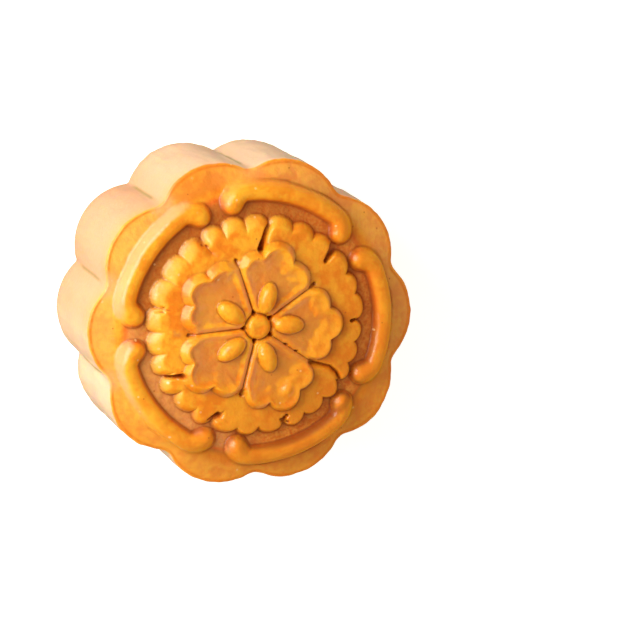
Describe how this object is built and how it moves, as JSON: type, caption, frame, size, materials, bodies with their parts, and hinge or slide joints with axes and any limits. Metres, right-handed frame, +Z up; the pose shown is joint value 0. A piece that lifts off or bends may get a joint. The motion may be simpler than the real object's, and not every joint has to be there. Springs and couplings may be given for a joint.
{
  "type": "lotus seed mooncake",
  "caption": "Whole round mooncake with scalloped sides and a moulded relief of a layered flower inside curled ridges.",
  "frame": {"origin": "middle of the flat base, on the cake's vertical axis, so the cake stands on the plane z = 0", "axes": "+Z up out of the patterned face; +X through the middle of one ridge and one lobe, close to the middle of one petal"},
  "size_m": [0.0786, 0.0762, 0.0401],
  "materials": {
    "baked_crust": "golden baked pastry crust with a thin egg glaze: soft satin, paler on the sides, browner in the recesses"
  },
  "bodies": {
    "root": {"mooncake": "baked_crust"}
  },
  "joints": []
}
